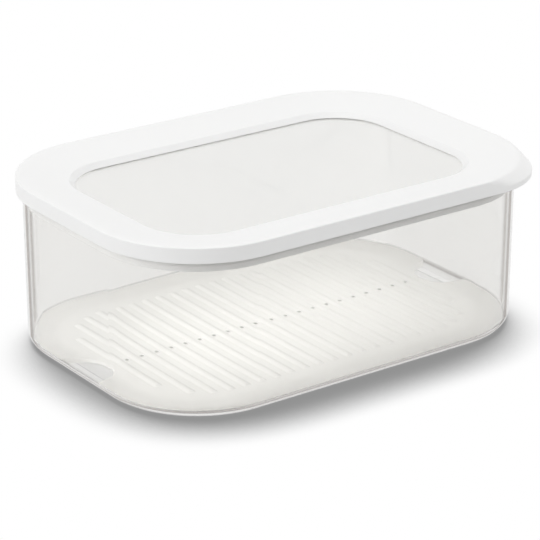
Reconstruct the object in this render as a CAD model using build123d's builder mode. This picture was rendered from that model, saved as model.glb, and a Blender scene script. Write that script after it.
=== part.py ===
from build123d import *
import math
import os

# Flat fridge box for cold cuts: a clear tub with rounded corners, a loose ribbed
# drip tray on its floor, and a soft white lid ring that holds a clear window.
# Millimetres, +Z up, the base stands on z = 0, the long side runs along X.

# Overall sizes, taken at the lid
lid_length = 230.0
lid_width = 164.0
box_height = 84.0
lid_corner_radius = 52.5

# Lid ring
skirt_height = 7.4
skirt_wall = 1.8
lid_edge_round = 0.8
ring_width = 24.5
dish_border = 3.5
dish_drop = 3.4
ring_wall = 2.0
window_corner_radius = 30.0
window_edge_bevel = 0.7

# Opening tab, made by giving one corner a wider top radius and a sharper foot radius
tab_crease_radius = 54.0
tab_foot_radius = 40.0
tab_lip_height = 2.6
tab_wall_rise = 1.2

# Plug lip that seals inside the tub's mouth
plug_depth = 13.0
plug_wall = 1.6
plug_clearance = 0.45
plug_bead_gap = 0.25
plug_bead_height = 1.2
plug_bead_rise = 2.0
plug_foot_chamfer = 0.5

# Clear window held in the frame at the ring's inner edge
window_thickness = 2.0
window_recess = 2.5
window_grip = 1.4
window_clearance = 0.05
frame_wall = 2.2
frame_lip = 1.2

# Clear tub
lid_overhang = 3.0
tub_wall = 2.0
tub_draft_angle = 0.35
tub_base_round = 6.0
tub_rim_chamfer = 0.5
tub_rim_clearance = 0.3
rim_groove_depth = 4.7
floor_thickness = 1.3
foot_recess = 0.4
foot_ring_width = 4.0

# Drip tray
tray_thickness = 1.1
tray_rim_rise = 1.1
tray_rim_width = 1.2
tray_rim_run = 11.0
tray_clearance = 0.25
tray_under_run = 2.0
tray_under_rise = 1.8
tray_top_chamfer = 0.2
tray_pad_height = 0.3
tray_pad_radius = 3.0
tray_pad_spacing_x = 75.0
tray_pad_spacing_y = 80.0
rib_pitch = 8.34
rib_width = 2.8
rib_height = 0.9
rib_root = 0.3
rib_end_slope = 35.0
rib_field_end_margin = 19.7
rib_field_side_margin = 17.8
rib_field_corner_radius = 30.0
drain_hole_radius = 1.0
small_round_sides = 8
notch_radius = 16.0
notch_slope_width = 2.6

# Heights that several pieces share
lid_top = box_height
skirt_bottom = lid_top - skirt_height
groove_ceiling = skirt_bottom + rim_groove_depth
tub_top = groove_ceiling - tub_rim_clearance
plug_bottom = lid_top - plug_depth
ring_inner_edge = lid_top - dish_drop
window_top = ring_inner_edge - window_recess
window_bottom = window_top - window_thickness
frame_bottom = window_bottom - frame_lip
tab_knee = skirt_bottom + tab_lip_height
floor_top = foot_recess + floor_thickness
tray_bottom = floor_top + tray_pad_height
tray_field_top = tray_bottom + tray_thickness
tray_rim_top = tray_field_top + tray_rim_rise

# Distances inwards from the lid's outer edge
tub_mouth_inset = lid_overhang + tub_wall
plug_inset = tub_mouth_inset + plug_clearance
plug_inner_inset = plug_inset + plug_wall
frame_inset = ring_width - frame_wall
tub_draft_slope = math.tan(math.radians(tub_draft_angle))
tub_base_inset = lid_overhang + tub_top * tub_draft_slope
tub_floor_inset = tub_mouth_inset + (tub_top - floor_top) * tub_draft_slope


def lid_outline(inset, mode=Mode.ADD):
    """Rounded rectangle that runs a given distance inside the lid's outer edge."""
    RectangleRounded(
        lid_length - 2 * inset,
        lid_width - 2 * inset,
        lid_corner_radius - inset,
        mode=mode,
    )


def tab_outline(inset, tab_radius):
    """The same rectangle with its own radius at the opening tab's corner (+X, -Y)."""
    length = lid_length - 2 * inset
    width = lid_width - 2 * inset
    Rectangle(length, width)
    tab_corner = vertices().sort_by_distance((length / 2, -width / 2, 0))[0]
    fillet(tab_corner, tab_radius)
    plain_corners = vertices().sort_by_distance((length / 2, -width / 2, 0))[2:]
    fillet(plain_corners, lid_corner_radius - inset)


def window_outline(growth, mode=Mode.ADD):
    """Window opening, grown by a given distance on every side."""
    RectangleRounded(
        lid_length - 2 * (ring_width - growth),
        lid_width - 2 * (ring_width - growth),
        window_corner_radius + growth,
        mode=mode,
    )


def corner_intrusion(radius, height):
    """How far a concave floor rounding reaches in from the wall at a height over the floor."""
    if height >= radius:
        return 0.0
    return radius - math.sqrt(radius**2 - (radius - height) ** 2)


# Clear tub
# The cavity has the walls' draft and its floor rounding follows the outer one.
tub_inner_round = tub_base_round - tub_wall

with BuildPart() as tub_cavity:
    with BuildSketch(Plane.XY.offset(floor_top)):
        lid_outline(tub_floor_inset)
    extrude(amount=tub_top - floor_top, taper=-tub_draft_angle)
    fillet(faces().sort_by(Axis.Z)[0].edges(), tub_inner_round)

with BuildPart() as container:
    with BuildSketch(Plane.XY):
        lid_outline(tub_base_inset)
    extrude(amount=tub_top, taper=-tub_draft_angle)
    fillet(faces().sort_by(Axis.Z)[0].edges(), tub_base_round)
    add(tub_cavity.part, mode=Mode.SUBTRACT)
    # Shallow recess under the floor leaves a narrow foot ring round the base
    with BuildSketch(Plane.XY):
        lid_outline(tub_base_inset + tub_base_round + foot_ring_width)
    extrude(amount=foot_recess, mode=Mode.SUBTRACT)
    # Both edges of the mouth lead the lid's plug lip in
    chamfer(faces().sort_by(Axis.Z)[-1].edges(), tub_rim_chamfer)
container.part.label = "container"

# Drip tray
# The floor rounding decides how near the tray's edge comes to the wall.
tray_inset = tub_floor_inset + tray_clearance + max(
    corner_intrusion(tub_inner_round, tray_pad_height) - tray_under_run,
    corner_intrusion(tub_inner_round, tray_pad_height + tray_under_rise),
)
tray_under_angle = math.degrees(math.atan(tray_under_run / tray_under_rise))
tray_length = lid_length - 2 * tray_inset
field_length = tray_length - 2 * rib_field_end_margin
field_width = lid_width - 2 * (tray_inset + rib_field_side_margin)
rib_count = int((field_length - rib_width) / rib_pitch) + 1

with BuildSketch() as rib_profile:
    with BuildLine():
        ThreePointArc((-rib_width / 2, 0), (0, rib_height), (rib_width / 2, 0))
        Polyline(
            (-rib_width / 2, 0),
            (-rib_width / 2, -rib_root),
            (rib_width / 2, -rib_root),
            (rib_width / 2, 0),
        )
    make_face()

with BuildPart() as ribs:
    with BuildSketch(Plane(origin=(0, 0, tray_field_top), x_dir=(1, 0, 0), z_dir=(0, -1, 0))):
        with GridLocations(rib_pitch, rib_pitch, rib_count, 1):
            add(rib_profile.sketch)
    extrude(amount=field_width / 2, both=True)
    # The ribs end on a rounded field, with sloped ends
    with BuildSketch(Plane.XY.offset(tray_field_top - rib_root)):
        RectangleRounded(field_length, field_width, rib_field_corner_radius)
    extrude(amount=rib_root + rib_height, taper=rib_end_slope, mode=Mode.INTERSECT)

with BuildPart() as insert_tray:
    # The underside slopes up to the edge, clear of the tub's floor rounding
    with BuildSketch(Plane.XY.offset(tray_bottom)):
        lid_outline(tray_inset + tray_under_run)
    extrude(amount=tray_under_rise, taper=-tray_under_angle)
    with BuildSketch(Plane.XY.offset(tray_bottom + tray_under_rise)):
        lid_outline(tray_inset)
    extrude(amount=tray_rim_top - tray_bottom - tray_under_rise)
    chamfer(faces().sort_by(Axis.Z)[-1].edges(), tray_top_chamfer)
    # Shallow dish: the ribbed field lies lower than the rim
    with BuildSketch(Plane.XY.offset(tray_field_top)):
        lid_outline(tray_inset + tray_rim_width + tray_rim_run)
    with BuildSketch(Plane.XY.offset(tray_rim_top)):
        lid_outline(tray_inset + tray_rim_width)
    loft(ruled=True, mode=Mode.SUBTRACT)
    add(ribs.part)
    # Low round pads keep the plate off the floor, so that liquid drains under it
    with BuildSketch(Plane.XY.offset(floor_top)):
        with GridLocations(tray_pad_spacing_x, tray_pad_spacing_y, 3, 2):
            RegularPolygon(tray_pad_radius, small_round_sides)
    extrude(amount=tray_pad_height)
    # One drain hole in each valley, on the long centre line. The holes and pads repeat,
    # so each has a few flat sides.
    with BuildSketch(Plane.XY.offset(tray_bottom)):
        with GridLocations(rib_pitch, rib_pitch, rib_count - 1, 1):
            RegularPolygon(drain_hole_radius, small_round_sides)
    extrude(amount=tray_thickness, mode=Mode.SUBTRACT)
    # Half-round finger notch with a sloped wall in the middle of each short end
    notch_height = tray_rim_top - tray_bottom
    notch_centre_z = tray_bottom + notch_height / 2
    with Locations((-tray_length / 2, 0, notch_centre_z), (tray_length / 2, 0, notch_centre_z)):
        Cone(notch_radius - notch_slope_width, notch_radius, notch_height, mode=Mode.SUBTRACT)
insert_tray.part.label = "insert_tray"

# Lid ring
# Hollow between the skirt and the plug lip, where the tub's rim goes
with BuildPart() as rim_groove:
    with BuildSketch(Plane.XY.offset(skirt_bottom)):
        tab_outline(skirt_wall, tab_foot_radius - skirt_wall)
    extrude(amount=tab_wall_rise)
    with BuildSketch(Plane.XY.offset(skirt_bottom + tab_wall_rise)):
        tab_outline(skirt_wall, tab_foot_radius - skirt_wall)
    with BuildSketch(Plane.XY.offset(groove_ceiling)):
        tab_outline(skirt_wall, lid_corner_radius - skirt_wall)
    loft(ruled=True)
    with BuildSketch(Plane.XY.offset(skirt_bottom)):
        lid_outline(plug_inset)
    extrude(amount=rim_groove_depth, mode=Mode.SUBTRACT)

# Hollow under the ring, between the plug lip and the window frame. Its ceiling runs
# parallel to the dished top, so the ring has one wall thickness.
dish_run = ring_width - dish_border
web_outer_z = lid_top - dish_drop * (plug_inner_inset - dish_border) / dish_run - ring_wall
web_inner_z = lid_top - dish_drop * (frame_inset - dish_border) / dish_run - ring_wall

with BuildPart() as ring_hollow:
    with BuildSketch(Plane.XY.offset(skirt_bottom)):
        lid_outline(plug_inner_inset)
    extrude(amount=web_outer_z - skirt_bottom)
    with BuildSketch(Plane.XY.offset(web_inner_z)):
        window_outline(frame_wall)
    with BuildSketch(Plane.XY.offset(web_outer_z)):
        lid_outline(plug_inner_inset)
    loft(ruled=True, mode=Mode.SUBTRACT)
    with BuildSketch(Plane.XY.offset(skirt_bottom)):
        window_outline(frame_wall)
    extrude(amount=web_outer_z - skirt_bottom, mode=Mode.SUBTRACT)

with BuildPart() as lid_rim:
    # Outer form: upright skirt, then the corner that flares from the crease to the tab's foot
    with BuildSketch(Plane.XY.offset(skirt_bottom)):
        tab_outline(0, tab_foot_radius)
    extrude(amount=tab_lip_height)
    with BuildSketch(Plane.XY.offset(tab_knee)):
        tab_outline(0, tab_foot_radius)
    with BuildSketch(Plane.XY.offset(lid_top)):
        tab_outline(0, tab_crease_radius)
    loft(ruled=True)
    fillet(faces().sort_by(Axis.Z)[-1].edges(), lid_edge_round)
    # Dished top that falls from the border to the window
    with BuildSketch(Plane.XY.offset(ring_inner_edge)):
        window_outline(0)
    with BuildSketch(Plane.XY.offset(lid_top)):
        lid_outline(dish_border)
    loft(ruled=True, mode=Mode.SUBTRACT)
    add(rim_groove.part, mode=Mode.SUBTRACT)
    add(ring_hollow.part, mode=Mode.SUBTRACT)
    # Window opening through the ring
    with BuildSketch(Plane.XY.offset(skirt_bottom)):
        window_outline(0)
    extrude(amount=skirt_height, mode=Mode.SUBTRACT)
    # Plug lip, with a chamfered foot and a low sealing bead round its outside
    with BuildSketch(Plane.XY.offset(plug_bottom)):
        lid_outline(plug_inset)
        lid_outline(plug_inner_inset, mode=Mode.SUBTRACT)
    extrude(amount=groove_ceiling - plug_bottom)
    chamfer(faces().sort_by(Axis.Z)[0].edges(), plug_foot_chamfer)
    with BuildSketch(Plane.XY.offset(plug_bottom + plug_bead_rise)):
        lid_outline(tub_mouth_inset + plug_bead_gap)
        lid_outline(plug_inner_inset, mode=Mode.SUBTRACT)
    extrude(amount=plug_bead_height)
    # Window frame round the opening, with the groove that grips the window's edge
    with BuildSketch(Plane.XY.offset(frame_bottom)):
        window_outline(frame_wall)
        window_outline(0, mode=Mode.SUBTRACT)
    extrude(amount=window_top + frame_lip - frame_bottom)
    with BuildSketch(Plane.XY.offset(window_bottom)):
        window_outline(window_grip)
    extrude(amount=window_thickness, mode=Mode.SUBTRACT)
    # Bevelled upper edge of the opening
    with BuildSketch(Plane.XY.offset(ring_inner_edge - window_edge_bevel)):
        window_outline(0)
    extrude(amount=2 * window_edge_bevel, taper=-45, mode=Mode.SUBTRACT)
lid_rim.part.label = "lid_rim"

# Clear window, gripped all round by the ring
with BuildPart() as lid_window:
    with BuildSketch(Plane.XY.offset(window_bottom + window_clearance)):
        window_outline(window_grip - window_clearance)
    extrude(amount=window_thickness - 2 * window_clearance)
lid_window.part.label = "lid_window"

os.makedirs("parts", exist_ok=True)
for piece in (container, insert_tray, lid_rim, lid_window):
    export_step(piece.part, f"parts/{piece.part.label}.step")
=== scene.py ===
import math

import bpy
import numpy as np
from mathutils import Matrix, Vector
from mathutils.geometry import delaunay_2d_cdt


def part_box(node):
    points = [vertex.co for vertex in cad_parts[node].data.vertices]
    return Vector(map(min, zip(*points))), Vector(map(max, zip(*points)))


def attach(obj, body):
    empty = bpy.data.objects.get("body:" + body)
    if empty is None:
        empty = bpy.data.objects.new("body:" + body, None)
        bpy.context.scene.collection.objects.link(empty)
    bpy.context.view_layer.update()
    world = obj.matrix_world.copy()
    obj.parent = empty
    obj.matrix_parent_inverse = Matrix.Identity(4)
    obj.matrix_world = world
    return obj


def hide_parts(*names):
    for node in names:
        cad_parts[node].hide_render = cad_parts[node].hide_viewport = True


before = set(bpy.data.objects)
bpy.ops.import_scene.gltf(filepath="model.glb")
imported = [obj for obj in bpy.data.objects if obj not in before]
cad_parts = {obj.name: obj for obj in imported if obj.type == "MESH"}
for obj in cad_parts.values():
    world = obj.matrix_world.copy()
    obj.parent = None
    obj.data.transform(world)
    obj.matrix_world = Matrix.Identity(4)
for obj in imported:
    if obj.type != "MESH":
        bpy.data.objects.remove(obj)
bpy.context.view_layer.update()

# Flat fridge box for cold cuts: clear tub, white ribbed drip tray, soft white lid ring
# with an opening tab at one corner, and a clear window in the ring.
# Shapes are worked out in millimetres, +Z up, and go into the meshes in metres.

MM = 0.001


def node_box(node):
    """Lowest and highest corner of a CAD node in millimetres."""
    low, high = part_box(node)
    return np.array(low) / MM, np.array(high) / MM


# Outlines of the four nodes. The tub stands at height 0, so only its upper corner is needed.
lid_low, lid_high = node_box("lid_rim")
tub_high = node_box("container")[1]
tray_low, tray_high = node_box("insert_tray")
window_low, window_high = node_box("lid_window")

# Lid ring
lid_corner_radius = 52.5
skirt_height = 7.4
skirt_wall = 1.8
lid_edge_round = 0.8
skirt_edge_round = 0.15
skirt_inner_round = 0.5
skirt_foot_round = 0.3
ring_width = 24.5
dish_border = 3.5
dish_drop = 3.4
dish_round = 12.0
ring_wall = 2.0
web_round = 1.0
hidden_round = 0.4

# Opening in the ring above the window
window_corner_radius = 30.0
window_edge_round = 1.2
window_wall_lean = 2.8
window_wall_foot = 0.02

# Opening tab at the corner +X, -Y
tab_crease_radius = 54.0
tab_foot_radius = 40.0
tab_lip_height = 2.6
tab_knee_round = 1.0
tab_wall_rise = 1.2

# Plug lip and the groove over the tub's rim
plug_inset = 5.45
plug_wall = 1.6
bead_height = 0.2
bead_low = 1.8
bead_high = 3.4
bead_slope = 0.5
groove_depth = 4.7

# Frame round the window, and the window
frame_wall = 2.2
frame_lip = 1.2
frame_lean = 1.0
window_grip = 1.4
grip_round = 0.15
window_recess = 2.5
window_thickness = 2.0
pane_edge_round = 0.3

# Tub
tub_corner_radius = 49.5
tub_wall = 2.0
tub_slope = math.tan(math.radians(0.35))
tub_base_round = 6.0
tub_inner_round = 4.0
tub_rim_round = 0.7
floor_thickness = 1.3
foot_recess = 0.4
foot_edge_round = 0.15
foot_ring_width = 4.0
floor_rim = 4.0
# Height and width of a thin line of painted shade on the tub's rounded base
foot_shade_line_height = 3.4
foot_shade_line_width = 1.0

# Drip tray
tray_corner_radius = 46.3
tray_thickness = 1.1
tray_rim_rise = 1.1
tray_rim_width = 0.8
tray_rim_run = 12.5
tray_edge_round = 0.35
tray_lower_edge_round = 0.1
tray_under_run = 2.0
tray_under_rise = 1.8
tray_pad_height = 0.3
pad_radius = 3.0
pad_edge = 0.1
pad_spacing = (75.0, 80.0)
hole_radius = 1.0
hole_edge = 0.15
notch_radius = 16.0
notch_slope = 2.6
notch_lip_round = 2.5
field_margin = 17.3
field_notch_share = 0.8

# Ribs: their field and number follow the slimmer ribs of the CAD node
rib_pitch = 8.34
rib_counted_width = 2.8
rib_counted_reach = 0.7
rib_end_margin = 19.7
rib_side_margin = 17.8
rib_field_radius = 30.0
rib_width = 6.0
rib_flank = 2.9
rib_crest_side = 0.3
rib_height = 0.65
rib_sink = 0.12
rib_end_length = 2.4

# Fineness of the surfaces
ARC_STEPS = 28
STRAIGHT_STEPS = 6
ROUND_STEPS = 7
LIP_STEPS = 8
NOTCH_STEPS = 40
RIM_STEPS = 40
RIB_STEPS = 8
HOLE_STEPS = 20
PAD_STEPS = 24
SUPPORT = 0.12
SUPPORT_SHARE = 0.3
SMOOTH_ANGLE = 35.0
LEAST_BEND = 0.01
MERGE_DISTANCE = 1e-6

# How far a corner is drawn in along its diagonal for each millimetre of radius
DIAGONAL = math.sqrt(2) - 1


def column_places():
    """For each point of a loop: its direction's angle, its corner and its share of the way to the
    next corner."""
    on_arc = np.linspace(0, math.pi / 2, ARC_STEPS + 1)
    angle = np.append(on_arc, np.full(STRAIGHT_STEPS - 1, math.pi / 2))
    share = np.append(np.zeros(ARC_STEPS + 1), np.arange(1, STRAIGHT_STEPS) / STRAIGHT_STEPS)
    corner = np.repeat(np.arange(4), len(angle))
    return np.tile(angle, 4) + corner * math.pi / 2, corner, np.tile(share, 4)


def loop_rows(half_length, half_width, radius, tab_radius):
    """Rounded rectangles, one a row. On a corner: its centre plus its radius times (cos, sin).
    Between two corners: a straight share of the way from one to the next. The last corner has its
    own radius."""
    angle, corner, share = column_places()
    after = (corner + 1) % 4
    radii = np.stack([radius, radius, radius, tab_radius], axis=1)
    half = np.stack([half_length, half_width], axis=1)
    signs = np.array([[1, 1], [-1, 1], [-1, -1], [1, -1]])
    centres = signs * (half[:, None, :] - radii[:, :, None])
    normal = np.stack([np.cos(angle), np.sin(angle)], axis=1)
    start = centres[:, corner] + radii[:, corner, None] * normal
    end = centres[:, after] + radii[:, after, None] * normal
    return start + share[None, :, None] * (end - start)


def rounded_profile(points, radii, closed):
    """A line through the points with an arc in each bend: from where the arc starts, radius times
    sine along the way in, plus radius times (1 - cosine) towards the arc's centre. Each arc has a
    point a little before and after it, which keeps the flats beside it flat in the shading. On a
    short flat these points come closer, so that they never cross."""
    points = np.array(points, float)
    along = np.roll(points, -1, axis=0) - points
    length = np.linalg.norm(along, axis=1)
    along /= length[:, None]
    before = np.roll(along, 1, axis=0)
    bend = np.arccos(np.clip((before * along).sum(axis=1), -1, 1))
    radii = np.where(bend < LEAST_BEND, 0, radii)
    if not closed:
        radii[[0, -1]] = 0
    reach = radii * np.tan(bend / 2)
    free = length - reach - np.roll(reach, -1)
    support = np.clip(free * SUPPORT_SHARE, 0, SUPPORT)
    out = []
    for i, point in enumerate(points):
        if radii[i] == 0:
            out.append(point)
            continue
        inward = (along[i] - math.cos(bend[i]) * before[i]) / math.sin(bend[i])
        turn = np.linspace(0, bend[i], ROUND_STEPS + 1)[:, None]
        start = point - reach[i] * before[i]
        arc = start + radii[i] * (np.sin(turn) * before[i] + (1 - np.cos(turn)) * inward)
        out.append(start - support[i - 1] * before[i])
        out.extend(arc)
        out.append(arc[-1] + support[i] * along[i])
    return np.array(out)


def sweep(profile, half_length, half_width, corner_radius):
    """The profile carried round a rounded rectangle. Its columns are the inset from the outline,
    the height, how far every corner is drawn in along its diagonal, and how far the tab's corner
    is besides."""
    inset, height, pull, tab_pull = profile.T
    radius = corner_radius - inset + pull / DIAGONAL
    tab_radius = radius + tab_pull / DIAGONAL
    rows = loop_rows(half_length - inset, half_width - inset, radius, tab_radius)
    heights = np.broadcast_to(height[:, None, None], rows.shape[:2] + (1,))
    return np.concatenate([rows, heights], axis=2)


def grid_faces(rows, columns, closed_rows, first=0):
    """Four-cornered faces of a grid of points whose columns close on themselves."""
    row = np.arange(rows if closed_rows else rows - 1)[:, None]
    column = np.arange(columns)[None, :]
    below = row * columns
    above = ((row + 1) % rows) * columns
    right = (column + 1) % columns
    faces = np.stack([below + column, below + right, above + right, above + column], axis=2)
    return first + faces.reshape(-1, 4)


def capped_faces(rows, columns):
    """A grid's faces, with one more over its first row and one over its last."""
    faces = grid_faces(rows, columns, closed_rows=False).tolist()
    faces.append(list(range(columns))[::-1])
    faces.append(list(range((rows - 1) * columns, rows * columns)))
    return faces


def new_piece(name, points, faces, body, material, slot):
    """Puts points in millimetres and faces into a mesh in metres, smooth except at sharp bends.
    The slot names the CAD node that the piece stands for, which it hides, and its material slot,
    which is not used."""
    mesh = bpy.data.meshes.new(name)
    mesh.from_pydata((np.asarray(points) * MM).tolist(), [], faces)
    mesh.validate()
    piece = bpy.data.objects.new(name, mesh)
    bpy.context.scene.collection.objects.link(piece)
    mesh.shade_smooth()
    mesh.set_sharp_from_angle(angle=math.radians(SMOOTH_ANGLE))
    mesh.materials.append(material)
    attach(piece, body)
    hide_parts(slot[0])
    return piece


def make_tub(material):
    """Clear tub: one profile from under the floor, up the outside, over the rim and down the
    inside. Its attribute for a painted line of shade on the foot is 1 at one height of the rounded
    base, outside, and falls straight to 0 a line's width above and below."""
    half_length, half_width = tub_high[:2]
    top = tub_high[2]
    floor_top = foot_recess + floor_thickness
    base_inset = top * tub_slope
    floor_inset = tub_wall + (top - floor_top) * tub_slope
    foot_inset = base_inset + tub_base_round + foot_ring_width
    line = [
        ((foot_inset + floor_rim, foot_recess, 0, 0), 0),
        ((foot_inset, foot_recess, 0, 0), foot_edge_round),
        ((foot_inset, 0, 0, 0), foot_edge_round),
        ((base_inset, 0, 0, 0), tub_base_round),
        ((0, top, 0, 0), tub_rim_round),
        ((tub_wall, top, 0, 0), tub_rim_round),
        ((floor_inset, floor_top, 0, 0), tub_inner_round),
        ((floor_inset + tub_inner_round + floor_rim, floor_top, 0, 0), 0),
    ]
    points, radii = zip(*line)
    profile = rounded_profile(points, radii, closed=False)
    grid = sweep(profile, half_length, half_width, tub_corner_radius)
    rows, columns = grid.shape[:2]
    faces = capped_faces(rows, columns)
    slot = ("container", "clear_plastic")
    tub = new_piece("tub_clear", grid.reshape(-1, 3), faces, "tub", material, slot)
    # Painted shade: a dark line round the base, which the clear material multiplies into its
    # colour
    on_foot = (profile[:, 0] < base_inset + tub_base_round) & (profile[:, 1] < tub_base_round)
    line_place = 1 - np.abs(profile[:, 1] - foot_shade_line_height) / foot_shade_line_width
    foot_shade_line = np.where(on_foot, np.clip(line_place, 0, 1), 0)
    foot = tub.data.attributes.new("foot_shade_line", "FLOAT", "POINT")
    foot.data.foreach_set("value", np.repeat(foot_shade_line, columns))
    return tub


def lid_line():
    """Corner points of the lid ring's section, each with its radius. A point is the inset, the
    height, the pull of every corner and the pull of the tab's corner."""
    top = lid_high[2]
    foot = top - skirt_height
    tab_foot = (tab_foot_radius - lid_corner_radius) * DIAGONAL
    tab_crease = (tab_crease_radius - lid_corner_radius) * DIAGONAL
    window_pull = (window_corner_radius + ring_width - lid_corner_radius) * DIAGONAL
    inner_edge = top - dish_drop
    window_top = inner_edge - window_recess
    window_bottom = window_top - window_thickness
    frame_bottom = window_bottom - frame_lip
    frame_inset = ring_width - frame_wall
    grip_inset = ring_width - window_grip
    plug_inner = plug_inset + plug_wall
    plug_bottom = lid_low[2]
    groove_top = foot + groove_depth
    slope = dish_drop / (ring_width - dish_border)
    web_outer = top - ring_wall - slope * (plug_inner - dish_border)
    web_inner = top - ring_wall - slope * (frame_inset - dish_border)
    bead_inset = plug_inset - bead_height
    wall_foot = ring_width + window_wall_lean
    return [
        ((0, foot, 0, tab_foot), skirt_edge_round),
        ((0, foot + tab_lip_height, 0, tab_foot), tab_knee_round),
        ((0, top, 0, tab_crease), lid_edge_round),
        ((dish_border, top, 0, 0), dish_round),
        ((ring_width, inner_edge, window_pull, 0), window_edge_round),
        ((wall_foot, window_top + window_wall_foot, window_pull, 0), 0),
        ((grip_inset, window_top, window_pull, 0), 0),
        ((grip_inset, window_bottom, window_pull, 0), 0),
        ((ring_width, window_bottom, window_pull, 0), grip_round),
        ((ring_width + frame_lean, frame_bottom, window_pull, 0), hidden_round),
        ((frame_inset, frame_bottom, window_pull, 0), hidden_round),
        ((frame_inset, web_inner, window_pull, 0), web_round),
        ((plug_inner, web_outer, 0, 0), web_round),
        ((plug_inner, plug_bottom, 0, 0), hidden_round),
        ((plug_inset, plug_bottom, 0, 0), hidden_round),
        ((plug_inset, plug_bottom + bead_low, 0, 0), 0),
        ((bead_inset, plug_bottom + bead_low + bead_slope, 0, 0), 0),
        ((bead_inset, plug_bottom + bead_high - bead_slope, 0, 0), 0),
        ((plug_inset, plug_bottom + bead_high, 0, 0), 0),
        ((plug_inset, groove_top, 0, 0), hidden_round),
        ((skirt_wall, groove_top, 0, 0), hidden_round),
        ((skirt_wall, foot + tab_wall_rise, 0, tab_foot), skirt_inner_round),
        ((skirt_wall, foot, 0, tab_foot), skirt_foot_round),
    ]


def make_lid_ring(material):
    """Lid ring: its closed section carried round the lid's outline, drawn out at the tab's
    corner."""
    half_length, half_width = lid_high[:2]
    points, radii = zip(*lid_line())
    profile = rounded_profile(points, radii, closed=True)
    grid = sweep(profile, half_length, half_width, lid_corner_radius)
    rows, columns = grid.shape[:2]
    faces = grid_faces(rows, columns, closed_rows=True).tolist()
    slot = ("lid_rim", "soft_white_plastic")
    return new_piece("lid_ring", grid.reshape(-1, 3), faces, "lid", material, slot)


def make_window(material):
    """Clear panel: a rounded edge carried round its outline, closed by a flat face above and
    below."""
    half_length, half_width = window_high[:2]
    low, high = window_low[2], window_high[2]
    radius = window_corner_radius + window_high[0] - (lid_high[0] - ring_width)
    line = [(floor_rim, low, 0, 0), (0, low, 0, 0), (0, high, 0, 0), (floor_rim, high, 0, 0)]
    profile = rounded_profile(line, [0, pane_edge_round, pane_edge_round, 0], closed=False)
    grid = sweep(profile, half_length, half_width, radius)
    faces = capped_faces(*grid.shape[:2])
    slot = ("lid_window", "clear_plastic")
    return new_piece("lid_window_pane", grid.reshape(-1, 3), faces, "lid", material, slot)


def notch_line(edge, radius):
    """Half-round notch in an upright edge at x = edge, from below to above: a small arc off the
    edge, the notch's own arc about the edge's middle, and the small arc back."""
    lip = notch_lip_round
    reach = math.sqrt(radius**2 + 2 * radius * lip)
    lean = math.atan2(reach, lip)
    lip_turn = np.linspace(0, lean, LIP_STEPS + 1)
    lip_x = edge - lip + lip * np.cos(lip_turn)
    lower_lip = np.stack([lip_x, -reach + lip * np.sin(lip_turn)], axis=1)
    turn = np.linspace(-lean, lean, NOTCH_STEPS + 1)[1:-1]
    hollow = np.stack([edge - radius * np.cos(turn), radius * np.sin(turn)], axis=1)
    upper_lip = (lower_lip * [1, -1])[::-1]
    return np.concatenate([lower_lip, hollow, upper_lip])


def once_round(notch, quarter):
    """A loop of four like quarters: half a notch and a rounded corner, mirrored in X and Y."""
    half_notch = notch[len(notch) // 2 :]
    first = np.concatenate([half_notch, quarter])
    second = (first * [-1, 1])[::-1]
    third = first * [-1, -1]
    fourth = (first * [1, -1])[::-1]
    return np.concatenate([first, second[:-1], third[1:], fourth[:-1]])


def tray_corner(half_length, half_width, radius):
    """Quarter of a rounded rectangle: the corner's centre plus its radius times (cos, sin)."""
    turn = np.linspace(0, math.pi / 2, ARC_STEPS + 1)
    centre = np.array([half_length - radius, half_width - radius])
    return centre + radius * np.stack([np.cos(turn), np.sin(turn)], axis=1)


def tray_outline(inset, radius):
    """The tray's outline some way in from its edge, anticlockwise, with a notch of the given
    radius in each short end."""
    half_length, half_width = tray_high[:2] - inset
    corner = tray_corner(half_length, half_width, tray_corner_radius - inset)
    return once_round(notch_line(half_length, radius), corner)


def field_outline(inset):
    """Rounded rectangle inside the notches, with a point for each point of the tray's outline:
    a notch's points are drawn straight and somewhat closer together."""
    half_length, half_width = tray_high[:2] - inset
    corner = tray_corner(half_length, half_width, tray_corner_radius - inset)
    level = notch_line(tray_high[0], notch_radius)
    level[:, 0] = half_length
    return once_round(level * [1, field_notch_share], corner)


def edge_distance(x, y):
    """How far a point lies inside the tray's rounded rectangle: in a corner the radius less the
    distance from the corner's centre, elsewhere the distance to the nearer side."""
    radius = tray_corner_radius
    across = np.abs(x) - (tray_high[0] - radius)
    along = np.abs(y) - (tray_high[1] - radius)
    outside = np.hypot(np.maximum(across, 0), np.maximum(along, 0))
    return radius - outside - np.minimum(np.maximum(across, along), 0)


def tray_top(x, y):
    """Height of the tray's upper face: the field, and near the edge the rim's rise times
    (1 + cosine) / 2 of the share of the run from the rim to the field."""
    field = tray_low[2] + tray_pad_height + tray_thickness
    share = np.clip((edge_distance(x, y) - tray_rim_width) / tray_rim_run, 0, 1)
    return field + tray_rim_rise * (1 + np.cos(math.pi * share)) / 2


def turned(centres, section, steps):
    """Sections turned about upright axes: for each centre and each radius and height of the
    section a circle, which is the centre plus the radius times (cos, sin), at that height."""
    turn = np.arange(steps) * 2 * math.pi / steps
    direction = np.stack([np.cos(turn), np.sin(turn)], axis=1)
    rings = []
    for radius, height in section:
        ring = np.asarray(centres)[:, None, :] + (radius * direction)[None]
        rings.append(np.dstack([ring, np.full(ring.shape[:2], height)]))
    return np.stack(rings, axis=1)


def inside_loop(points, loop):
    """True where a point lies in the loop: a level ray from it crosses the loop an odd number of
    times."""
    ahead = np.roll(loop, -1, axis=0)
    x, y = points[:, 0, None], points[:, 1, None]
    spans = (loop[:, 1] > y) != (ahead[:, 1] > y)
    rise = np.where(ahead[:, 1] == loop[:, 1], 1, ahead[:, 1] - loop[:, 1])
    cross = loop[:, 0] + (y - loop[:, 1]) / rise * (ahead[:, 0] - loop[:, 0])
    return (spans & (x < cross)).sum(axis=1) % 2 == 1


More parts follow.
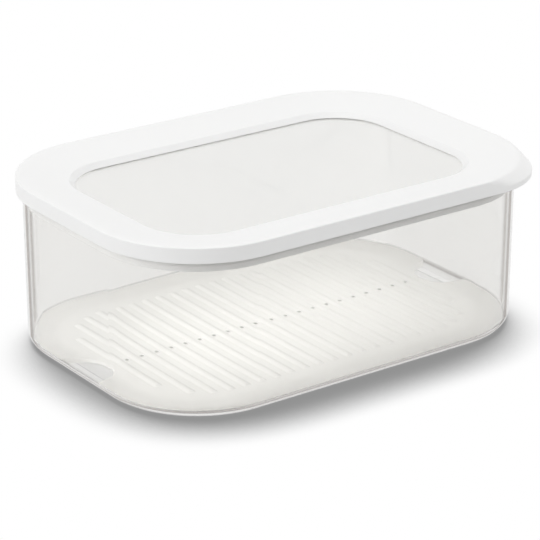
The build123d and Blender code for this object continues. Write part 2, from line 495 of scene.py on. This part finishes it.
def flat_with_holes(outline, holes):
    """Triangles that fill the outline less the holes. Their corners count through the outline's
    points and then through those of the holes."""
    loops = [outline, *holes]
    points = np.concatenate(loops)
    starts = np.cumsum([0] + [len(loop) for loop in loops])
    edges = [
        (int(start + i), int(start + (i + 1) % len(loop)))
        for start, loop in zip(starts, loops)
        for i in range(len(loop))
    ]
    corners = [Vector(point) for point in points.tolist()]
    found = delaunay_2d_cdt(corners, edges, [], 0, MERGE_DISTANCE)
    triangles = np.array([list(face) for face in found[2]])
    where = np.array([list(point) for point in found[0]])
    origin = np.array([came_from[0] for came_from in found[3]])
    middle = where[triangles].mean(axis=1)
    inside = inside_loop(middle, outline)
    for hole in holes:
        inside &= ~inside_loop(middle, hole)
    return origin[triangles[inside]]


def rib_places():
    """Middle of each rib along X, and how far its flat length reaches along Y inside the rounded
    field: to the field's straight side, and in a corner to the corner's circle."""
    half_length = tray_high[0] - rib_end_margin
    half_width = tray_high[1] - rib_side_margin
    count = int((2 * half_length - rib_counted_width) / rib_pitch) + 1
    x = (np.arange(count) - (count - 1) / 2) * rib_pitch
    into_corner = np.abs(x) + rib_counted_reach - (half_length - rib_field_radius)
    beyond = np.clip(into_corner, 0, rib_field_radius)
    reach = half_width - rib_field_radius + np.sqrt(rib_field_radius**2 - beyond**2)
    return x, reach


def make_ribs(top):
    """Ribs as closed bars. Across: the height times (1 - cosine) / 2 of how far a point has come
    in over the flank, and two points beside the crest. The flanks end nearer to the middle than
    these two, so the crest has a fold 0.2 mm wide and 0.01 mm high. Along: the same rise over a
    short stretch at each end. A flat underside closes each bar inside the plate."""
    x, reach = rib_places()
    share = np.linspace(0, 1, RIB_STEPS + 1)
    left_flank = share * rib_flank - rib_width / 2
    right_flank = rib_width / 2 - share[::-1] * rib_flank
    across = np.concatenate([left_flank, [-rib_crest_side, rib_crest_side], right_flank])
    end_rise = (1 - np.cos(share * math.pi)) / 2
    rise = np.concatenate([end_rise, end_rise[::-1]])
    offset = np.concatenate([share - 1, 1 - share[::-1]]) * rib_end_length
    side = np.repeat([-1, 1], len(share))
    y = side * (reach[:, None] - rib_end_length) + offset
    come_in = np.clip((rib_width / 2 - np.abs(across)) / rib_flank, 0, 1)
    bump = (1 - np.cos(come_in * math.pi)) / 2
    upper = top - rib_sink + (rib_height + rib_sink) * rise[None, :, None] * bump[None, None, :]
    upper = np.broadcast_to(upper, (len(x), len(rise), len(across)))
    upper_x = np.broadcast_to(x[:, None, None] + across, upper.shape)
    y = np.broadcast_to(y[:, :, None], upper.shape)
    lower = np.full(upper.shape, top - 2 * rib_sink)
    section_x = np.concatenate([upper_x, upper_x[:, :, ::-1]], axis=2)
    section_y = np.concatenate([y, y], axis=2)
    section_z = np.concatenate([upper, lower], axis=2)
    points = np.stack([section_x, section_y, section_z], axis=3)
    count, rows, columns = points.shape[:3]
    left = np.arange(columns // 2 - 1)
    cap = np.stack([left, left + 1, columns - 2 - left, columns - 1 - left], axis=1)
    faces = []
    for rib in range(count):
        first = rib * rows * columns
        bar = grid_faces(rows, columns, closed_rows=False, first=first)
        faces.extend(bar.tolist())
        faces.extend((first + cap[:, ::-1]).tolist())
        faces.extend((first + (rows - 1) * columns + cap).tolist())
    return points.reshape(-1, 3), faces


def make_pads(top):
    """Round pads under the plate: upright walls with a small bevel at the foot, closed above and
    below."""
    foot = tray_low[2]
    spots = [(i * pad_spacing[0], j * pad_spacing[1] / 2) for i in (-1, 0, 1) for j in (-1, 1)]
    section = [(pad_radius, top), (pad_radius, foot + pad_edge), (pad_radius - pad_edge, foot)]
    points = turned(spots, section, PAD_STEPS)
    faces = []
    for pad in range(len(spots)):
        first = pad * len(section) * PAD_STEPS
        last = first + (len(section) - 1) * PAD_STEPS
        wall = grid_faces(len(section), PAD_STEPS, closed_rows=False, first=first)
        faces.extend(wall[:, ::-1].tolist())
        faces.append(list(range(first, first + PAD_STEPS)))
        faces.append(list(range(last, last + PAD_STEPS))[::-1])
    return points.reshape(-1, 3), faces


def make_tray(material):
    """Drip tray: outline rows from the sloped underside over the rim, which then fall to the
    ribbed field. Flat faces with the drain holes close it above and below. Each hole has a wall
    that opens a little at the top. Pads stand underneath and ribs on top."""
    bottom = tray_low[2] + tray_pad_height
    field = bottom + tray_thickness
    rim_top = field + tray_rim_rise
    edge = [
        (tray_under_run, bottom),
        (0, bottom + tray_under_rise),
        (0, rim_top),
        (tray_rim_width, rim_top),
    ]
    radii = [0, tray_lower_edge_round, tray_edge_round, 0]
    profile = rounded_profile(edge, radii, closed=False)
    levels = (profile[:, 1] - bottom) / (rim_top - bottom)
    notch_radii = notch_radius - notch_slope * (1 - levels)
    outlines = [tray_outline(inset, radius) for inset, radius in zip(profile[:, 0], notch_radii)]
    rim = outlines[-1]
    inner = field_outline(field_margin)
    outlines += [rim + share * (inner - rim) for share in np.linspace(0, 1, RIM_STEPS + 1)[1:]]
    levels = np.append(levels, np.ones(RIM_STEPS))
    flat = np.stack(outlines)
    height = bottom + levels[:, None] * (tray_top(flat[..., 0], flat[..., 1]) - bottom)
    rims = np.concatenate([flat, height[..., None]], axis=2)
    rows, columns = rims.shape[:2]
    faces = grid_faces(rows, columns, closed_rows=False).tolist()
    first_hole = rows * columns

    x = rib_places()[0]
    valleys = np.stack([(x[1:] + x[:-1]) / 2, np.zeros(len(x) - 1)], axis=1)
    wall = [
        (hole_radius, bottom),
        (hole_radius, field - hole_edge),
        (hole_radius + hole_edge, field),
    ]
    holes = turned(valleys, wall, HOLE_STEPS)
    for hole in range(len(valleys)):
        first = first_hole + hole * len(wall) * HOLE_STEPS
        tube = grid_faces(len(wall), HOLE_STEPS, closed_rows=False, first=first)
        faces.extend(tube[:, ::-1].tolist())

    for row, ring, order in ((0, 0, -1), (rows - 1, len(wall) - 1, 1)):
        filled = flat_with_holes(outlines[row], list(holes[:, ring, :, :2]))
        on_outline = np.arange(columns) + row * columns
        ring_number = np.arange(len(valleys))[:, None] * len(wall) + ring
        on_holes = first_hole + ring_number * HOLE_STEPS + np.arange(HOLE_STEPS)
        place = np.append(on_outline, on_holes.reshape(-1))
        faces.extend(place[filled][:, ::order].tolist())

    points = [rims.reshape(-1, 3), holes.reshape(-1, 3)]
    for more_points, more_faces in (make_pads(bottom + rib_sink), make_ribs(field)):
        count = sum(len(part) for part in points)
        points.append(more_points)
        faces.extend([[count + i for i in face] for face in more_faces])
    slot = ("insert_tray", "tray_plastic")
    return new_piece("drip_tray", np.concatenate(points), faces, "insert", material, slot)


# Materials
GRAIN_DEPTH = 0.0001
CLEAR_GRAIN_DEPTH = 0.00002
CLEAR_GRAIN_STRENGTH = 0.1
CLEAR_DEPTH_COLOUR = (0.45, 0.42, 0.36)
CLEAR_DENSITY = 12.0

# Layer Weight's Facing where painted shade on the tub's turning edge begins, and where it is gone
# again
EDGE_SHADE_RISES = (0.66, 0.76)
EDGE_SHADE_FADES = (0.84, 0.79)
# Share of the painted edge shade on faces seen from within
FAR_SIDE_SHADE_SHARE = 0.2

# Metres beyond the foot's outline where the light floor under the tub starts to end and is over,
# seen from outside and seen through the clear plastic
UNDER_DIRECT = (0.0004, 0.0016)
UNDER_THROUGH = (0.0065, 0.0085)


def feed(tree, value, socket):
    """Links the value to the socket if it is a socket itself, else sets it there."""
    if isinstance(value, bpy.types.NodeSocket):
        tree.links.new(value, socket)
    else:
        socket.default_value = value


def new_group(name, inputs, outputs):
    """Empty shader node group with named inputs (name, kind, default) and outputs (name, kind)."""
    group = bpy.data.node_groups.new(name, "ShaderNodeTree")
    for label, kind, default in inputs:
        socket = group.interface.new_socket(name=label, in_out="INPUT", socket_type=kind)
        socket.default_value = default
    for label, kind in outputs:
        group.interface.new_socket(name=label, in_out="OUTPUT", socket_type=kind)
    return group, group.nodes.new("NodeGroupInput"), group.nodes.new("NodeGroupOutput")


def noise(tree, vector, scale, detail):
    """Noise texture on the given coordinates."""
    texture = tree.nodes.new("ShaderNodeTexNoise")
    texture.inputs["Detail"].default_value = detail
    feed(tree, scale, texture.inputs["Scale"])
    tree.links.new(vector, texture.inputs["Vector"])
    return texture.outputs["Fac"]


def ranged(tree, value, smooth=False, **ends):
    """Value mapped from From_Min and From_Max to To_Min and To_Max, straight or in a smooth step.
    An end that isn't given is 0 for a Min and 1 for a Max."""
    node = tree.nodes.new("ShaderNodeMapRange")
    if smooth:
        node.interpolation_type = "SMOOTHSTEP"
    tree.links.new(value, node.inputs["Value"])
    for name, end in ends.items():
        feed(tree, end, node.inputs[name.replace("_", " ")])
    return node.outputs["Result"]


def reckoned(tree, operation, first, second):
    """One step of arithmetic on two sockets."""
    node = tree.nodes.new("ShaderNodeMath")
    node.operation = operation
    tree.links.new(first, node.inputs[0])
    tree.links.new(second, node.inputs[1])
    return node.outputs[0]


def vector_step(tree, operation, first, second=None):
    """One step of vector arithmetic on a socket and, where it is given, a fixed vector."""
    node = tree.nodes.new("ShaderNodeVectorMath")
    node.operation = operation
    tree.links.new(first, node.inputs[0])
    if second is not None:
        node.inputs[1].default_value = second
    return node


def multiplied(tree, factor, colour, by):
    """The colour where the factor is 0, and the colour times another one where it is 1. Sockets
    6 and 7 are the Mix node's two colours and output 2 is its mixed colour."""
    mix = tree.nodes.new("ShaderNodeMix")
    mix.data_type = "RGBA"
    mix.blend_type = "MULTIPLY"
    tree.links.new(factor, mix.inputs[0])
    tree.links.new(colour, mix.inputs[6])
    mix.inputs[7].default_value = (*by, 1)
    return mix.outputs[2]


def either_shader(tree, factor, first, second):
    """The first shader where the factor is 0 and the second where it is 1."""
    mix = tree.nodes.new("ShaderNodeMixShader")
    tree.links.new(factor, mix.inputs[0])
    tree.links.new(first.outputs[0], mix.inputs[1])
    tree.links.new(second.outputs[0], mix.inputs[2])
    return mix.outputs[0]


def moulded_finish_group():
    """Moulded plastic: fine grain as height, roughness that drifts in soft patches, and a
    colour that drifts between the given colour and a darker share of it."""
    group, enter, leave = new_group(
        "moulded_finish",
        [
            ("Colour", "NodeSocketColor", (0.9, 0.9, 0.9, 1)),
            ("Tone Drift", "NodeSocketFloat", 0.02),
            ("Roughness Low", "NodeSocketFloat", 0.3),
            ("Roughness High", "NodeSocketFloat", 0.4),
            ("Grain Scale", "NodeSocketFloat", 2500.0),
        ],
        [
            ("Colour", "NodeSocketColor"),
            ("Roughness", "NodeSocketFloat"),
            ("Height", "NodeSocketFloat"),
        ],
    )
    low, high = enter.outputs["Roughness Low"], enter.outputs["Roughness High"]
    place = group.nodes.new("ShaderNodeTexCoord").outputs["Object"]
    grain = noise(group, place, enter.outputs["Grain Scale"], detail=2)
    group.links.new(grain, leave.inputs["Height"])
    patches = noise(group, place, scale=45, detail=3)
    rough = ranged(group, patches, To_Min=low, To_Max=high)
    group.links.new(rough, leave.inputs["Roughness"])
    drift = noise(group, place, scale=14, detail=4)
    share = reckoned(group, "MULTIPLY", drift, enter.outputs["Tone Drift"])
    darkened_colour = multiplied(group, share, enter.outputs["Colour"], (0, 0, 0))
    group.links.new(darkened_colour, leave.inputs["Colour"])
    return group


def new_material(name):
    """Material with an empty node tree but for its output."""
    material = bpy.data.materials.new(name)
    material.use_nodes = True
    tree = material.node_tree
    tree.nodes.clear()
    return material, tree, tree.nodes.new("ShaderNodeOutputMaterial")


def place_group(tree, group, **values):
    """The shared group in a material, with its own values."""
    node = tree.nodes.new("ShaderNodeGroup")
    node.node_tree = group
    for name, value in values.items():
        node.inputs[name.replace("_", " ")].default_value = value
    return node


def bump_from(tree, height, distance, strength):
    """Normal tilted by the slope of the height, which spans the distance in metres."""
    bump = tree.nodes.new("ShaderNodeBump")
    bump.inputs["Distance"].default_value = distance
    bump.inputs["Strength"].default_value = strength
    tree.links.new(height, bump.inputs["Height"])
    return bump.outputs["Normal"]


def white_plastic(
    name, finish, colour, roughness, grain_scale, grain_strength, reach, openness, hollow_shade
):
    """Opaque moulded plastic with the shared finish, and shade painted into the colour of its
    hollows: where the openness within the reach is at the first value the colour is at the share
    given for the painted shade, at the second it is full."""
    material, tree, output = new_material(name)
    surface = tree.nodes.new("ShaderNodeBsdfPrincipled")
    look = place_group(
        tree,
        finish,
        Colour=(*colour, 1),
        Tone_Drift=0.03,
        Roughness_Low=roughness[0],
        Roughness_High=roughness[1],
        Grain_Scale=grain_scale,
    )
    # Painted shade: the colour darkens where the piece's own surface closes in round a point
    near = tree.nodes.new("ShaderNodeAmbientOcclusion")
    near.samples = 12
    near.only_local = True
    near.inputs["Distance"].default_value = reach
    low, high = openness
    share = ranged(tree, near.outputs["AO"], From_Min=low, From_Max=high, To_Min=hollow_shade)
    darkened_colour = vector_step(tree, "SCALE", look.outputs["Colour"])
    tree.links.new(share, darkened_colour.inputs["Scale"])
    tree.links.new(darkened_colour.outputs[0], surface.inputs["Base Color"])
    tree.links.new(look.outputs["Roughness"], surface.inputs["Roughness"])
    normal = bump_from(tree, look.outputs["Height"], GRAIN_DEPTH, grain_strength)
    tree.links.new(normal, surface.inputs["Normal"])
    surface.inputs["IOR"].default_value = 1.5
    tree.links.new(surface.outputs[0], output.inputs["Surface"])
    return material


def edge_shade_mask(tree):
    """0 to 1, for the two thin lines of painted shade in the clear tub. The first is a smooth step
    up times a smooth step down of Layer Weight's Facing, a band where a curved wall turns away
    from the eye. The second is the attribute of the painted line on the foot. The greater of the
    two holds, and on faces seen from within only a share of it."""
    slant = tree.nodes.new("ShaderNodeLayerWeight")
    slant.inputs["Blend"].default_value = 0.5
    steps = [
        ranged(tree, slant.outputs["Facing"], smooth=True, From_Min=start, From_Max=end)
        for start, end in (EDGE_SHADE_RISES, EDGE_SHADE_FADES)
    ]
    side = reckoned(tree, "MULTIPLY", *steps)
    foot = tree.nodes.new("ShaderNodeAttribute")
    foot.attribute_name = "foot_shade_line"
    both = reckoned(tree, "MAXIMUM", side, foot.outputs["Fac"])
    within = tree.nodes.new("ShaderNodeNewGeometry").outputs["Backfacing"]
    share = ranged(tree, within, To_Min=1.0, To_Max=FAR_SIDE_SHADE_SHARE)
    return reckoned(tree, "MULTIPLY", both, share)


def clear_plastic(name, finish, colour, edge_shade_colour, lamp_colour):
    """Clear moulded plastic: refracting for what is seen, darker and warmer the longer the way
    through it, times the colour of the painted edge shade where its mask is. The lamps' shadow
    rays pass straight through, in the lamp colour."""
    material, tree, output = new_material(name)
    surface = tree.nodes.new("ShaderNodeBsdfPrincipled")
    look = place_group(
        tree,
        finish,
        Colour=(*colour, 1),
        Tone_Drift=0.01,
        Roughness_Low=0.0,
        Roughness_High=0.01,
        Grain_Scale=90.0,
    )
    # Painted shade: dark lines along the turning edges and the foot, multiplied into the base
    # colour
    edge_shaded = multiplied(tree, edge_shade_mask(tree), look.outputs["Colour"], edge_shade_colour)
    tree.links.new(edge_shaded, surface.inputs["Base Color"])
    tree.links.new(look.outputs["Roughness"], surface.inputs["Roughness"])
    normal = bump_from(tree, look.outputs["Height"], CLEAR_GRAIN_DEPTH, CLEAR_GRAIN_STRENGTH)
    tree.links.new(normal, surface.inputs["Normal"])
    surface.inputs["Transmission Weight"].default_value = 1.0
    surface.inputs["IOR"].default_value = 1.49
    through = tree.nodes.new("ShaderNodeBsdfTransparent")
    through.inputs["Color"].default_value = (*lamp_colour, 1)
    to_lamp = tree.nodes.new("ShaderNodeLightPath").outputs["Is Shadow Ray"]
    shader = either_shader(tree, to_lamp, surface, through)
    tree.links.new(shader, output.inputs["Surface"])
    inside = tree.nodes.new("ShaderNodeVolumeAbsorption")
    inside.inputs["Color"].default_value = (*CLEAR_DEPTH_COLOUR, 1)
    inside.inputs["Density"].default_value = CLEAR_DENSITY
    tree.links.new(inside.outputs[0], output.inputs["Volume"])
    return material


# Studio


def seen_rays(tree):
    """1 for camera, glossy and transmission rays, which show the white background, else 0."""
    path = tree.nodes.new("ShaderNodeLightPath").outputs
    shown = reckoned(tree, "MAXIMUM", path["Is Camera Ray"], path["Is Glossy Ray"])
    return reckoned(tree, "MAXIMUM", shown, path["Is Transmission Ray"])


def make_world(strength, fill):
    """Even soft light all round and plain white where the background is seen. Rays that come out
    of the box through its clear walls, after they left a matt surface, find the fill's strength
    instead of 1, so what lies in the box gets somewhat more light."""
    world = bpy.data.worlds.new("studio_world")
    bpy.context.scene.world = world
    world.use_nodes = True
    tree = world.node_tree
    tree.nodes.clear()
    output = tree.nodes.new("ShaderNodeOutputWorld")
    light = tree.nodes.new("ShaderNodeBackground")
    light.inputs["Strength"].default_value = strength
    white = tree.nodes.new("ShaderNodeBackground")
    depth = tree.nodes.new("ShaderNodeLightPath").outputs["Diffuse Depth"]
    tree.links.new(ranged(tree, depth, To_Min=1.0, To_Max=fill), white.inputs["Strength"])
    for node in (light, white):
        node.inputs["Color"].default_value = (1, 1, 1, 1)
    tree.links.new(either_shader(tree, seen_rays(tree), light, white), output.inputs["Surface"])


def under_box(tree):
    """1 on the floor inside the tub's rounded foot and 0 outside: the distance from a smaller
    rectangle, measured as the length of the positive parts of |place| less its half sides. Through
    the clear plastic the floor is light out to the tub's widest outline."""
    inset = (tub_base_round + tub_high[2] * tub_slope) * MM
    radius = tub_corner_radius * MM - inset
    half = [side * MM - inset - radius for side in tub_high[:2]]
    place = tree.nodes.new("ShaderNodeTexCoord").outputs["Object"]
    away = vector_step(tree, "ABSOLUTE", place)
    beyond = vector_step(tree, "SUBTRACT", away.outputs[0], (*half, 0))
    outside = vector_step(tree, "MAXIMUM", beyond.outputs[0], (0, 0, 0))
    distance = vector_step(tree, "LENGTH", outside.outputs[0]).outputs["Value"]
    direct = tree.nodes.new("ShaderNodeLightPath").outputs["Is Camera Ray"]
    ends, over = (
        ranged(tree, direct, To_Min=radius + through, To_Max=radius + seen)
        for through, seen in zip(UNDER_THROUGH, UNDER_DIRECT)
    )
    return ranged(tree, distance, smooth=True, From_Min=over, From_Max=ends)


def make_floor(albedo, reach, lean, openness, darkest, under):
    """Plain white floor. Where it is seen it is white, less a soft contact shadow: a smooth step
    from the darkest value to 1 between two values of the openness within the reach, looked for
    along a leaning normal. Light comes through the clear box onto the part under it. For the light
    the floor is a matt pale one."""
    mesh = bpy.data.meshes.new("floor")
    side = 4.0
    corners = [(-side, -side, 0), (side, -side, 0), (side, side, 0), (-side, side, 0)]
    mesh.from_pydata(corners, [], [(0, 1, 2, 3)])
    floor = bpy.data.objects.new("floor", mesh)
    bpy.context.scene.collection.objects.link(floor)
    material, tree, output = new_material("floor_white")
    near = tree.nodes.new("ShaderNodeAmbientOcclusion")
    near.samples = 32
    near.inputs["Distance"].default_value = reach
    tilt = tree.nodes.new("ShaderNodeCombineXYZ")
    for socket, value in zip(tilt.inputs, lean):
        socket.default_value = value
    tree.links.new(tilt.outputs[0], near.inputs["Normal"])
    low, high = openness
    shade = ranged(
        tree, near.outputs["AO"], smooth=True, From_Min=low, From_Max=high, To_Min=darkest
    )
    lit = tree.nodes.new("ShaderNodeMix")
    lit.inputs["B"].default_value = under
    tree.links.new(under_box(tree), lit.inputs["Factor"])
    tree.links.new(shade, lit.inputs["A"])
    glow = tree.nodes.new("ShaderNodeEmission")
    tree.links.new(lit.outputs["Result"], glow.inputs["Strength"])
    matt = tree.nodes.new("ShaderNodeBsdfDiffuse")
    matt.inputs["Color"].default_value = (albedo, albedo, albedo, 1)
    tree.links.new(either_shader(tree, seen_rays(tree), matt, glow), output.inputs["Surface"])
    mesh.materials.append(material)


def make_lamp(name, place, aim, size, power):
    """Square soft box of the given side at a place, turned to what it lights."""
    light = bpy.data.lights.new(name, "AREA")
    light.shape = "SQUARE"
    light.size = size
    light.energy = power
    lamp = bpy.data.objects.new(name, light)
    bpy.context.scene.collection.objects.link(lamp)
    lamp.location = place
    lamp.rotation_euler = (Vector(aim) - Vector(place)).to_track_quat("-Z", "Y").to_euler()


def make_camera(azimuth, elevation, roll, distance, target, focal_px, centre_px, image_px):
    """Camera at the photograph's viewing angle. Azimuth 0 looks along +Y. It stands at the target
    plus the distance times the unit vector back along its view, and the shift brings the target's
    place in the picture to the centre given."""
    a, e, r = (math.radians(v) for v in (azimuth, elevation, roll))
    back = Vector((math.sin(a) * math.cos(e), -math.cos(a) * math.cos(e), math.sin(e)))
    level = (-back).cross(Vector((0, 0, 1))).normalized()
    over = level.cross(-back)
    right = math.cos(r) * level + math.sin(r) * over
    up = math.cos(r) * over - math.sin(r) * level
    place = Vector(target) + distance * back
    data = bpy.data.cameras.new("camera")
    data.sensor_fit = "HORIZONTAL"
    data.lens = focal_px * data.sensor_width / image_px
    data.shift_x = (image_px / 2 - centre_px[0]) / image_px
    data.shift_y = (centre_px[1] - image_px / 2) / image_px
    camera = bpy.data.objects.new("camera", data)
    bpy.context.scene.collection.objects.link(camera)
    camera.matrix_world = Matrix(
        [[*row, place[i]] for i, row in enumerate(zip(right, up, back))] + [[0, 0, 0, 1]]
    )
    bpy.context.scene.camera = camera


finish = moulded_finish_group()
lid_white = white_plastic(
    "soft_white_lid",
    finish,
    colour=(0.90, 0.90, 0.895),
    roughness=(0.35, 0.5),
    grain_scale=1500.0,
    grain_strength=0.10,
    # Painted shade in the groove by the plug lip and in the lid's other hollows
    reach=0.008,
    openness=(0.1, 0.4),
    hollow_shade=0.6,
)
tray_white = white_plastic(
    "tray_white",
    finish,
    colour=(0.94, 0.933, 0.91),
    roughness=(0.3, 0.42),
    grain_scale=1200.0,
    grain_strength=0.12,
    # Painted shade in the valleys between the ribs
    reach=0.004,
    openness=(0.85, 1.0),
    hollow_shade=0.86,
)
# Both clear materials get painted edge shade: dark lines on the tub, a faint one on the window
tub_clear = clear_plastic(
    "clear_tub",
    finish,
    colour=(0.905, 0.902, 0.892),
    edge_shade_colour=(0.13, 0.1, 0.08),
    lamp_colour=(1, 1, 1),
)
window_clear = clear_plastic(
    "clear_window",
    finish,
    colour=(0.93, 0.93, 0.92),
    edge_shade_colour=(0.9, 0.9, 0.9),
    lamp_colour=(0.5, 0.5, 0.5),
)

make_tub(tub_clear)
make_tray(tray_white)
make_lid_ring(lid_white)
make_window(window_clear)

box_middle = (0, 0, 0.04)
make_world(strength=0.475, fill=1.35)
make_floor(
    albedo=0.85,
    reach=0.0444,
    lean=(0.27, 0.52, 0.81),
    openness=(0.338, 0.823),
    darkest=0.29,
    under=0.95,
)
make_lamp("top_soft_box", (0, 0.1, 2.0), box_middle, size=2.0, power=18.7)
make_lamp("left_soft_box", (-1.8, 0.1, 0.7), box_middle, size=1.0, power=10)
make_lamp("right_soft_box", (1.6, -1.0, 1.0), box_middle, size=1.0, power=7.5)
make_camera(
    azimuth=-35.89,
    elevation=21.3,
    roll=0.05,
    distance=1.199,
    target=box_middle,
    focal_px=2484.6,
    centre_px=(270.8, 248.3),
    image_px=540,
)
bpy.context.scene.view_settings.view_transform = "Standard"
